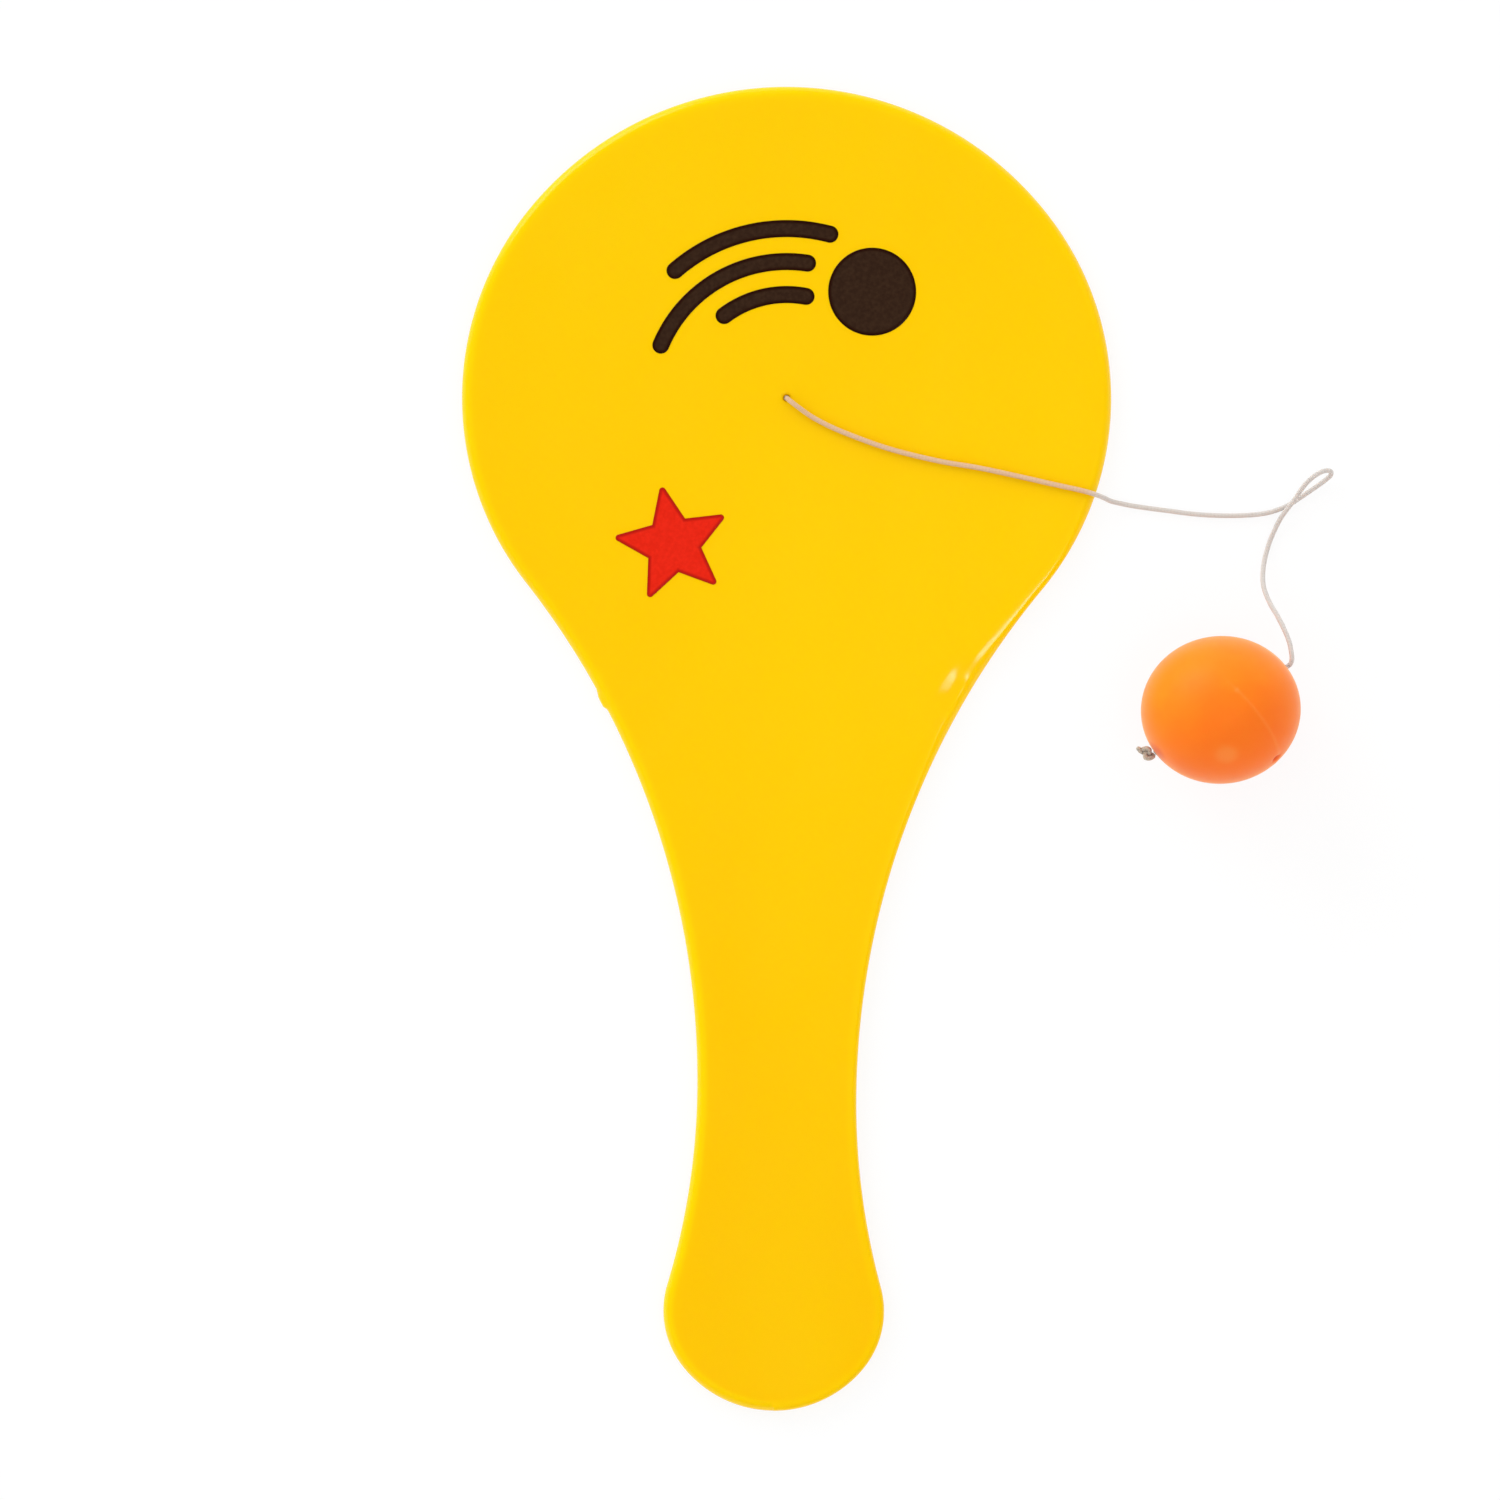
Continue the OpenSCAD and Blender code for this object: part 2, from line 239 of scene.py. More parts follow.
def braided_elastic(name, yarn, painted_gap_shade):
    # Elastic cord: fine polyester yarns braided over a rubber core. The braid itself is in the mesh, and its colour
    # is darker in the gaps between the yarns, as painted shade in those creases. Some light passes through it, and
    # over the paddle a tan is painted on as painted light from the yellow beneath.
    material, tree, place = start_material(name)
    fuzz = add(
        tree, "ShaderNodeTexNoise", inputs={"Scale": 1 / mm(0.35), "Detail": 3}, links={"Vector": place}
    )
    height = add(tree, "ShaderNodeAttribute", {"attribute_name": "yarn_height"}).outputs["Fac"]
    tone = add(tree, "ShaderNodeMath", {"operation": "MULTIPLY_ADD"}, {1: 0.3}, {0: fuzz, 2: height})
    # The second pair is a tan painted on over the paddle, as painted light standing in for the yellow that the
    # paddle throws back onto the yarns
    plain, painted_yellow_bounce = [
        add(tree, "ShaderNodeValToRGB", links={"Fac": tone}, stops=((0.25, dark), (0.85, light)))
        for dark, light in ((painted_gap_shade, yarn), ("#A98A6E", "#D6B594"))
    ]
    painted_bounce_share = add(tree, "ShaderNodeAttribute", {"attribute_name": "painted_bounce_share"}).outputs["Fac"]
    colour = add(
        tree, "ShaderNodeMix", {"data_type": "RGBA"}, links={"Factor": painted_bounce_share, "A": plain, "B": painted_yellow_bounce}
    )
    values = {
        "Roughness": 0.72,
        "IOR": 1.46,
        "Sheen Weight": 0.15,
        "Sheen Roughness": 0.4,
        "Subsurface Weight": 0.8,
        "Subsurface Scale": mm(0.9),
        "Subsurface Radius": (1.0, 0.92, 0.85),
    }
    end_material(tree, values, colour.outputs[2], relief=(fuzz, 0.02))
    return material


def orange_rubber():
    # Moulded rubber: light goes a little way in and comes out redder, and a dry bloom pales the rim. Its colour is
    # painted yellower on the side towards the key light and a deeper orange on the other, as painted light and
    # shade.
    material, tree, place = start_material("moulded_rubber_orange")
    offset = add(tree, "ShaderNodeVectorMath", {"operation": "SUBTRACT"}, {1: mm(BALL_AT)}, {0: place})
    side = add(tree, "ShaderNodeVectorMath", {"operation": "DOT_PRODUCT"}, {1: PAINTED_LIGHT_SIDE}, {0: offset})
    cloud = add(tree, "ShaderNodeTexNoise", inputs={"Scale": 1 / mm(9), "Detail": 3}, links={"Vector": place})
    cloud = add(tree, "ShaderNodeMath", {"operation": "MULTIPLY_ADD"}, {1: 0.5, 2: 0.25}, {0: cloud})
    lit_side_share = add(
        tree,
        "ShaderNodeMath",
        {"operation": "MULTIPLY_ADD"},
        {1: 1 / mm(BALL_D)},
        {0: side.outputs["Value"], 2: cloud},
    )
    # Painted light and shade: yellower towards the key light, a deeper orange away from it, with a random cloud
    # over it
    colour = add(
        tree,
        "ShaderNodeValToRGB",
        links={"Fac": lit_side_share},
        stops=((0.15, "#FC7106"), (0.5, "#FF7C05"), (0.85, "#FF8E08")),
    ).outputs[0]
    # The mould's marks are paler, and the chip and the ring round the bore's far mouth are deeper, as painted shade
    # in the chip's hollow and under the knot
    for attribute, tint in (("mould_mark", "#FF9C48"), ("painted_hollow_shade", "#E04410")):
        share = add(tree, "ShaderNodeAttribute", {"attribute_name": attribute}).outputs["Fac"]
        colour = add(
            tree, "ShaderNodeMix", {"data_type": "RGBA"}, {"B": linear(tint)}, {"Factor": share, "A": colour}
        ).outputs[2]
    haze = add(tree, "ShaderNodeTexNoise", inputs={"Scale": 1 / mm(2), "Detail": 4}, links={"Vector": place})
    grain = add(
        tree, "ShaderNodeTexNoise", inputs={"Scale": 1 / mm(0.6), "Detail": 3}, links={"Vector": place}
    )
    values = {
        "IOR": 1.52,
        "Specular IOR Level": 0.2,
        "Sheen Weight": 1.0,
        "Sheen Roughness": 0.34,
        "Sheen Tint": linear("#FFC79C"),
        "Subsurface Weight": 0.35,
        "Subsurface Scale": mm(2.5),
        "Subsurface Radius": (1.0, 0.35, 0.1),
    }
    end_material(tree, values, colour, relief=(grain, 0.01), rough=(haze, 0.42, 0.56))
    return material


def smooth_in_metres(mesh, sharp=35.0):
    """Scales a mesh from millimetres to metres, and smooths it but for its sharp edges."""
    mesh.shade_smooth()
    mesh.transform(Matrix.Scale(mm(1), 4))
    mesh.set_sharp_from_angle(angle=math.radians(sharp))


def finish_mesh(name, bm, material, sharp=35.0):
    """Makes the object of a bmesh in millimetres, smooth but for its sharp edges."""
    bmesh.ops.recalc_face_normals(bm, faces=bm.faces)
    mesh = bpy.data.meshes.new(name)
    bm.to_mesh(mesh)
    bm.free()
    smooth_in_metres(mesh, sharp)
    mesh.materials.append(material)
    piece = bpy.data.objects.new(name, mesh)
    scene.collection.objects.link(piece)
    return piece


def join_rings(bm, rings, closed_ends=True):
    """Joins closed rings of vertices, each as long as the next, into one skin."""
    for low, high in zip(rings, rings[1:]):
        for i in range(len(low)):
            k = (i + 1) % len(low)
            bm.faces.new((low[i], low[k], high[k], high[i]))
    if closed_ends:
        bm.faces.new(rings[0][::-1])
        bm.faces.new(rings[-1])


def carry_out_modifiers(piece):
    """Turns what the piece's modifiers make of it into its plain mesh."""
    depsgraph = bpy.context.evaluated_depsgraph_get()
    mesh = bpy.data.meshes.new_from_object(piece.evaluated_get(depsgraph))
    piece.modifiers.clear()
    piece.data = mesh


def cut_out(piece, cutter):
    """Cuts cutter out of piece, and deletes cutter."""
    modifier = piece.modifiers.new("cut", "BOOLEAN")
    modifier.operation = "DIFFERENCE"
    modifier.solver = "EXACT"
    modifier.object = cutter
    carry_out_modifiers(piece)
    bpy.data.objects.remove(cutter)


def lathe(profile, sides, to_place=Matrix.Identity(4)):
    """A closed turned form. profile is a list of (radius, height) from one end to the other."""
    bm = bmesh.new()
    rings = []
    for radius, height in profile:
        places = [to_place @ around(360 * i / sides, radius, height) for i in range(sides)]
        rings.append([bm.verts.new(place) for place in places])
    join_rings(bm, rings)
    return bm


# Place where the cord leaves the blade, the ball's place and bore, and the side towards the key light, on which its
# colour is painted yellower as painted light
MOUTH = Vector((0, 0, PLATE_T + MOUTH_RISE))
BALL_AT = around(BALL_ANGLE, BALL_REACH, BALL_D / 2)
BORE_DIR = around(BORE_ANGLE)
PAINTED_LIGHT_SIDE = around(122)
BORE_TURN = math.radians(BORE_ANGLE - BALL_TURN)
BORE_REACH = 0.5 / math.hypot(math.cos(BORE_TURN) / BALL_D, math.sin(BORE_TURN) / BALL_SHORT_D)
BALL_EXIT = BALL_AT + (BORE_REACH + BALL_STUB) * BORE_DIR

# Route of the CAD part's cord: x, y and how far its middle is above the height at which it lies, first on the
# face and then on the floor. It steps off the blade's edge, makes a small loop, and climbs to the ball.
FACE_LIE = PLATE_T + CORD_R + 0.15
FLOOR_LIE = CORD_R + 0.05
BLADE_ROUTE = [
    (1.1, -0.9, 0.8), (2.2, -1.7, 0.6), (3.6, -2.7, 0.2), (5.4, -3.8, 0), (8.7, -5.4, 0),
    (13.1, -7.1, 0), (17.5, -8.6, 0), (21.9, -9.8, 0), (28.5, -11.2, 0), (35, -12.2, 0),
    (41.6, -13.5, 0), (48.2, -14.9, 0), (54, -16.1, 0), (56.2, -16.7, -0.2),
]
FLOOR_ROUTE = [
    (57.9, -17.3, 2.2), (59.3, -17.9, 1), (61.1, -18.3, 0.2), (64, -18.8, 0), (69, -19.4, 0),
    (75.5, -20.1, 0), (82, -20.2, 0), (87.4, -19.7, 0), (91.2, -18.4, 0), (93.4, -17, 0),
    (95.4, -15.6, 0), (97.1, -14.4, 0.1), (98.5, -13.3, 0.5), (99.2, -12.6, 1.3), (99.2, -12, 2.2),
    (98.5, -11.8, 2.8), (97.4, -12.1, 3.3), (96.1, -12.9, 3.4), (94.8, -14.1, 3), (93.8, -15.4, 2.4),
    (92.8, -17, 1.8), (91.6, -18.6, 1.3), (90.4, -20.3, 0.8), (89.5, -22, 0.3), (88.3, -24.9, 0.1),
    (87.5, -27.8, 0.7), (87.1, -30.5, 2.2), (87.2, -33.1, 4.3), (88.2, -35.9, 6.7), (89.6, -38.4, 9.1),
    (90.8, -40.8, 11.2), (91.7, -43.1, 12.8), (92.1, -45, 13.7), (92.2, -46.4, 14.1),
]
ROUTE = (
    [MOUTH]
    + [Vector(p) + Vector((0, 0, FACE_LIE)) for p in BLADE_ROUTE]
    + [Vector(p) + Vector((0, 0, FLOOR_LIE)) for p in FLOOR_ROUTE]
    + [BALL_EXIT]
)

# Braid of the cord, and how deep its yarns lie, as a share of the cord's radius
YARNS = 8
BRAID_PITCH = 2.9
YARN_DEPTH_SHARE = 0.09
# Distance between the rings of a cord, and turns of the rings that round its end
RING_PITCH = 0.14
END_TURNS = (15, 35, 55, 75)
# Where the cord leaves the blade's edge, and the painted tan of the paddle's yellow light on it stops
PAINTED_BOUNCE_ENDS = (57.5, 54)


def smooth_path(points, first, last, pitch):
    """Points about pitch apart on cubics through points, which leave along first and arrive along last."""
    slopes = [first]
    for before, here, after in zip(points, points[1:], points[2:]):
        slopes.append((after - before) / ((after - here).length + (here - before).length))
    slopes.append(last)
    path = []
    for a, b, slope_a, slope_b in zip(points, points[1:], slopes, slopes[1:]):
        run = (b - a).length
        steps = max(1, round(run / pitch))
        for k in range(steps):
            t = k / steps
            path.append(
                (2 * t**3 - 3 * t**2 + 1) * a
                + (t**3 - 2 * t**2 + t) * run * slope_a
                + (3 * t**2 - 2 * t**3) * b
                + (t**3 - t**2) * run * slope_b
            )
    return path + [points[-1].copy()]


def rounded_end(centre, along, run, way):
    """Rings that round a cord's end, after it where way is 1 and before it where way is -1."""
    rings = []
    for turn in END_TURNS:
        out = way * CORD_R * math.sin(math.radians(turn))
        rings.append((centre + out * along, along, math.cos(math.radians(turn)), run + out))
    return rings[::way]


def braided_tube(
    name, path, material, first=None, last=None, rounded=(False, False), sides=24, squeeze=1.0, painted_yellow_bounce=False
):
    """A tube along path with the relief of a braid. first and last are the directions that its ends face, squeeze
    is its share of the cord's thickness, and a painted_yellow_bounce one is painted tan over the paddle, as painted
    light from the yellow beneath it."""
    ahead = [(b - a).normalized() for a, b in zip([path[0]] + path, path[1:] + [path[-1]])]
    ahead[0] = first or (path[1] - path[0]).normalized()
    ahead[-1] = last or (path[-1] - path[-2]).normalized()

    # Each ring: its middle, direction, share of the full radius, and run from the start
    stations = [(path[0], ahead[0], 1.0, 0.0)]
    for centre, along in zip(path[1:], ahead[1:]):
        before, _, _, run = stations[-1]
        stations.append((centre, along, 1.0, run + (centre - before).length))
    if rounded[0]:
        stations = rounded_end(path[0], ahead[0], 0.0, -1) + stations
    if rounded[1]:
        stations += rounded_end(path[-1], ahead[-1], stations[-1][3], 1)

    bm = bmesh.new()
    yarn_height = bm.verts.layers.float.new("yarn_height")
    painted_bounce_share = bm.verts.layers.float.new("painted_bounce_share")
    side = ahead[0].orthogonal().normalized()
    rings = []
    for centre, along, thickness, run in stations:
        side = (side - side.dot(along) * along).normalized()
        up = along.cross(side)
        twist = 2 * math.pi * run / BRAID_PITCH
        ring = []
        for k in range(sides):
            turn = 2 * math.pi * k / sides
            lay = max(abs(math.sin(YARNS / 2 * (turn + way * twist))) for way in (1, -1))
            radius = CORD_R * squeeze * thickness * (1 - YARN_DEPTH_SHARE * (1 - lay))
            vert = bm.verts.new(centre + radius * (math.cos(turn) * side + math.sin(turn) * up))
            vert[yarn_height] = lay
            # Painted light: over the paddle the yarns are painted tan, standing in for yellow light thrown back
            # from it
            vert[painted_bounce_share] = fade(centre.x, *PAINTED_BOUNCE_ENDS) if painted_yellow_bounce else 0.0
            ring.append(vert)
        rings.append(ring)
    join_rings(bm, rings)
    return finish_mesh(name, bm, material, sharp=60)


elastic = braided_elastic("braided_elastic_grey", "#CBC5C0", "#A09A94")
# Painted shade: the knots take a darker copy of the cord's colours, standing in for the shade inside a tight knot
painted_shade_elastic = braided_elastic("braided_elastic_painted_knot_shade", "#B8AC9C", "#766D61")

# The cord leaves its stub on a slope of 45 degrees
flat_start = Vector((ROUTE[1].x, ROUTE[1].y, 0))
start_slope = (flat_start + Vector((0, 0, flat_start.length))).normalized()
cord_path = smooth_path(ROUTE, start_slope, -BORE_DIR, RING_PITCH)
free_cord = braided_tube(
    "free_elastic_cord", cord_path, elastic, start_slope, -BORE_DIR, rounded=(True, False), painted_yellow_bounce=True
)
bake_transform(free_cord, "tether", "cord_end", start=mm(around(BALL_ANGLE, 4.0)), end=mm(around(BALL_ANGLE, 96.0)))
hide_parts("elastic_cord")

# Knots: share of the cord's thickness that is left in them, degrees left open between their ends, steps round
# them and how many lie between two points, gap to what they hold, and their sizes, places and turns
KNOT_SQUEEZE_SHARE = 0.92
KNOT_OPEN_TURN = 28
KNOT_STEPS = 55
KNOT_STRIDE = 3
KNOT_GAP = 0.15
BLADE_KNOT_D = 3.4
BLADE_KNOT_H = 1.55
BLADE_KNOT_Z = 1.05
BLADE_KNOT_TURN = 40
BALL_KNOT_D = 3.2
BALL_KNOT_H = 2.2
BALL_KNOT_TURN = 200
# The knot on the ball is pulled a little to one side of the bore, with the cord's tail beyond it
BALL_KNOT_ASIDE = 0.7
BALL_KNOT_TAIL = ((-1.3, 0.45, 0.5), (-1.6, 0.85, 0.6))


def make_knot(name, at, axis, turn, width, height, tail=()):
    """A tight overhand knot round at, with its axis along axis, and a short tail past its end."""
    to_place = Matrix.Translation(at) @ axis.to_track_quat("Z", "Y").to_matrix().to_4x4()
    # The lobes reach three times the spread
    spread = (width / 2 - CORD_R * KNOT_SQUEEZE_SHARE) / 3
    rise = height / 2 - CORD_R * KNOT_SQUEEZE_SHARE

    def lobes(step):
        t = math.radians(turn + KNOT_OPEN_TURN / 2 + (360 - KNOT_OPEN_TURN) * step / KNOT_STEPS)
        x = spread * (math.sin(t) + 2 * math.sin(2 * t))
        y = spread * (math.cos(t) - 2 * math.cos(2 * t))
        return to_place @ Vector((x, y, -rise * math.sin(3 * t)))

    points = [lobes(step) for step in range(0, KNOT_STEPS, KNOT_STRIDE)] + list(tail)
    first = (lobes(KNOT_STRIDE) - lobes(0)).normalized()
    last = (lobes(KNOT_STEPS) - lobes(KNOT_STEPS - KNOT_STRIDE)).normalized()
    path = smooth_path(points, first, last, RING_PITCH)
    return braided_tube(name, path, painted_shade_elastic, rounded=(True, True), sides=20, squeeze=KNOT_SQUEEZE_SHARE)


def make_blade_knot():
    """The knot that holds the cord in the recess behind the blade."""
    at = Vector((0, 0, BLADE_KNOT_Z))
    up = Vector((0, 0, 1))
    return make_knot("knot_behind_blade", at, up, BLADE_KNOT_TURN, BLADE_KNOT_D, BLADE_KNOT_H)


def make_cord_inside_blade():
    """The cord's length in its hole, from the mouth down to the top of the knot."""
    down = Vector((0, 0, -1))
    pitch = 0.15
    knot_top = PLATE_T - WEB_T - KNOT_GAP
    path = [MOUTH + i * pitch * down for i in range(round((MOUTH.z - knot_top) / pitch) + 1)]
    return braided_tube("cord_through_blade", path, elastic, down, down, rounded=(True, False), painted_yellow_bounce=True)


def make_cord_inside_ball():
    """The cord's length in its bore, from the stub to the knot."""
    pitch = 0.4
    start = BALL_AT + BORE_DIR * (BORE_REACH + BALL_STUB)
    steps = int((2 * BORE_REACH + BALL_STUB + KNOT_GAP) / pitch)
    path = [start - i * pitch * BORE_DIR for i in range(steps + 1)]
    return braided_tube("cord_through_ball", path, elastic, sides=16)


def make_ball_knot():
    """The knot that holds the ball on the cord."""
    at = BALL_AT - (BORE_REACH + KNOT_GAP + BALL_KNOT_H / 2) * BORE_DIR
    at += around(BORE_ANGLE + 90, BALL_KNOT_ASIDE)
    tail = [at + Vector(p) for p in BALL_KNOT_TAIL]
    return make_knot("knot_on_ball", at, -BORE_DIR, BALL_KNOT_TURN, BALL_KNOT_D, BALL_KNOT_H, tail)


# Points of the paddle's outline and face: their distance along the edge, and the columns across face and back
OUTLINE_PITCH = 0.7
FACE_COLUMNS = 84
BACK_COLUMNS = 12
# Warp of the face: its height, and its width across and along the paddle
WARP = 0.012
WARP_W = 38
WARP_LEN = 46
# Edge: where the soft bevel of the face begins, its rings, and the radii that round the plate front and back
BEVEL_START = 6.4
BEVEL_RINGS = 13
EDGE_R = 1.6
EDGE_STEPS = 8
BACK_R = 1.1
BACK_STEPS = 6
WALL_LEAST = 0.05
# How much tighter the edge is down most of the right side
TIGHTER_BY = 0.7
# Degrees that the face leans: all round, on the shoulders of the neck, and on their lower end besides
LEAN = 4.5
SHOULDER_LEAN = 3.3
LOWER_SHOULDER_LEAN = 1.2
# Under the right shoulder the bevel wanders inwards, as a shallow sink mark, and lies flatter at the edge
SINK_LEAN = 9.0
SINK_EDGE_LEAN = -3.0
# Stretches of the edge. Each end is a fade along the paddle: the y where it is 0, and the y where it is 1
TIGHT_NECK = ((-51, -38), (-18, -30))
TIGHT_HANDLE = ((-58, -72),)
SHOULDER = ((-52.8, -50.6), (-24, -46))
LOWER_SHOULDER = ((-43, -48),)
SINK = ((-58.6, -54.8), (-46.8, -53.2))
SINK_EDGE = ((-58, -55), (-51.6, -53.2))
# The same for bands across the edge, by the inset from it
BEVEL_BAND = ((2.0, 0.5),)
SINK_BAND = ((6.4, 4.6), (2.4, 4.0))
SINK_EDGE_BAND = ((2.6, 2.1),)
# Mark where the moulding gate was cut off, on the left of the neck. Its place is a share of the neck's arc.
GATE_SHARE = 0.745
GATE_HALF = 2.2
GATE_HALF_T = 0.95
GATE_PROUD = 0.45
# Shares of its half length at which it is full, above and below its middle. Its lower end was cut off square.
GATE_ABOVE_SHARE = 0.1
GATE_BELOW_SHARE = 0.8
# Band of the rim painted paler as painted light, the share of that on the right, and where the left begins
PAINTED_RIM_LIGHT_BAND = ((2.3, 1.3),)
PAINTED_RIM_LIGHT_RIGHT_SHARE = 0.5
PAINTED_RIM_LIGHT_LEFT = ((8, -8),)
# Hole: chamfer and corner of the recess behind it, and the gap round the cord in its throat
RECESS_CHAMFER = 0.35
RECESS_CORNER = 0.3
THROAT_GAP = 0.06
# Funnel at the hole's mouth: how far past the hole's radius, and how far over the face
THROAT_TOP = -0.45
FUNNEL = ((0.0, -0.14), (0.12, 0.01), (0.2, CUT))


def within(value, ends):
    """1 within a stretch, 0 off it, and smooth at its ends, each of which is a fade."""
    return math.prod(fade(value, *end) for end in ends)


def bend(across, along):
    """Slope, and sum of the radii, of the two arcs that carry the outline across over the length along."""
    slope = 2 * math.degrees(math.atan(across / along))
    return slope, across / (1 - math.cos(math.radians(slope)))


def quarter_oval(width, height):
    """Radii of the side and end arcs of a quarter oval, and the turn from its end at which they meet."""
    turn = math.degrees(math.atan(2 * height * (width + height) / (width * (width + 2 * height))))
    return height * height / width, width * (width + height) / (2 * height), turn


def outline_arcs():
    """Arcs of the right side, from tip to butt: centre x, centre y, radius, first and last turn."""
    blade, grip, butt = BLADE_W / 2, GRIP_W / 2, BUTT_W / 2
    butt_y = TIP_ABOVE_HOLE - PADDLE_LEN
    waist_y = butt_y + WAIST_ABOVE_BUTT
    wide_y = butt_y + BUTT_CAP_H
    blade_side, tip_r, tip_turn = quarter_oval(blade, TIP_ABOVE_HOLE)
    butt_side, butt_end, cap_turn = quarter_oval(butt, BUTT_CAP_H)
    neck_slope, neck_sum = bend(blade - grip, -waist_y)
    flare_slope, flare_sum = bend(butt - grip, waist_y - wide_y)
    neck, flare = neck_sum - blade_side, flare_sum - butt_side
    return [
        (0, TIP_ABOVE_HOLE - tip_r, tip_r, 0, tip_turn),
        (blade - blade_side, 0, blade_side, tip_turn, 90 + neck_slope),
        (grip + neck, waist_y, -neck, 90 + neck_slope, 90),
        (grip + flare, waist_y, -flare, 90, 90 - flare_slope),
        (butt - butt_side, wide_y, butt_side, 90 - flare_slope, 180 - cap_turn),
        (0, butt_y + butt_end, butt_end, 180 - cap_turn, 180),
    ]


def outline_points():
    """Points round the outline from the tip, right side first, each with its outward normal."""
    right = []
    for x, y, radius, first, last in outline_arcs():
        steps = math.ceil(abs(radius * math.radians(last - first)) / OUTLINE_PITCH)
        for i in range(steps):
            turn = math.radians(first + (last - first) * (i + 0.5) / steps)
            normal = Vector((math.sin(turn), math.cos(turn), 0))
            right.append((Vector((x, y, 0)) + radius * normal, normal))
    tip = (Vector((0, TIP_ABOVE_HOLE, 0)), Vector((0, 1, 0)))
    end = (Vector((0, TIP_ABOVE_HOLE - PADDLE_LEN, 0)), Vector((0, -1, 0)))
    left = [(Vector((-p.x, p.y, 0)), Vector((-n.x, n.y, 0))) for p, n in reversed(right)]
    return [tip] + right + [end] + left


def face_lift(x, y):
    """How far the printed face stands off its flat at a point, by a hair of warp."""
    return WARP * noise.noise(Vector((x / WARP_W, y / WARP_LEN, 0.3)))


def edge_round(x, y):
    """Width of the round along the face's edge."""
    tighter = max(within(y, TIGHT_NECK), within(y, TIGHT_HANDLE)) if x > 0 else 0.0
    return EDGE_R - TIGHTER_BY * tighter


def face_lean(inset, x, y):
    """How many degrees the face leans towards its edge, at that inset from the edge."""
    shoulder = (SHOULDER_LEAN + LOWER_SHOULDER_LEAN * within(y, LOWER_SHOULDER)) * within(y, SHOULDER)
    lean = (LEAN + shoulder) * within(inset - edge_round(x, y), BEVEL_BAND)
    if x > 0:
        lean += SINK_LEAN * within(y, SINK) * within(inset, SINK_BAND)
        lean += SINK_EDGE_LEAN * within(y, SINK_EDGE) * within(inset, SINK_EDGE_BAND)
    return lean


def edge_profile(x, y):
    """Insets and heights down the plate's edge at a place on its outline: its bevel, and its rounds."""
    round_in = edge_round(x, y)
    step = (BEVEL_START - round_in) / (BEVEL_RINGS - 1)
    inset, height = BEVEL_START, PLATE_T
    points = [(inset, height)]
    for _ in range(BEVEL_RINGS - 1):
        height -= step * math.tan(math.radians(face_lean(inset - step / 2, x, y)))
        inset -= step
        points.append((inset, height))
    lean = face_lean(inset, x, y)
    radius = round_in / (1 - math.sin(math.radians(lean)))
    for i in range(1, EDGE_STEPS + 1):
        turn = math.radians(lean + (90 - lean) * i / EDGE_STEPS)
        drop = radius * (math.cos(math.radians(lean)) - math.cos(turn))
        points.append((radius * (1 - math.sin(turn)), height - drop))
    back_r = min(BACK_R, points[-1][1] - WALL_LEAST)
    for i in range(BACK_STEPS + 1):
        turn = math.radians(90 * i / BACK_STEPS)
        points.append((back_r * (1 - math.cos(turn)), back_r * (1 - math.sin(turn))))
    return points


def gate_place():
    """Place of the moulding gate, mirrored to the right side of the neck."""
    x, y, radius, first, last = outline_arcs()[2]
    turn = math.radians(last + GATE_SHARE * (first - last))
    return Vector((x + radius * math.sin(turn), y + radius * math.cos(turn), 0))


def gate_rise(point, height, gate):
    """How far the gate's mark stands out of the edge, at a point of the outline and a height."""
    along = (Vector((-point.x, point.y, 0)) - gate).length / GATE_HALF
    through = abs(height - PLATE_T / 2) / GATE_HALF_T
    if point.x >= 0 or along >= 1 or through >= 1:
        return 0.0
    full = GATE_BELOW_SHARE if point.y < gate.y else GATE_ABOVE_SHARE
    return GATE_PROUD * fade(along, 1, full) * (1 - through**4)


def close_across(bm, ring, columns, height):
    """Closes a ring of the outline with rows from side to side. height(x, y) is that of the surface."""
    half = len(ring) // 2
    rows = []
    for i in range(1, half):
        left, right = ring[-i], ring[i]
        row = [left]
        for c in range(1, columns):
            at = left.co.lerp(right.co, c / columns)
            at.z = height(at.x, at.y)
            row.append(bm.verts.new(at))
        rows.append(row + [right])
    for upper, lower in zip(rows, rows[1:]):
        for c in range(columns):
            bm.faces.new((upper[c], upper[c + 1], lower[c + 1], lower[c]))
    for row, end in ((rows[0], ring[0]), (rows[-1], ring[half])):
        for c in range(columns):
            bm.faces.new((row[c], row[c + 1], end))


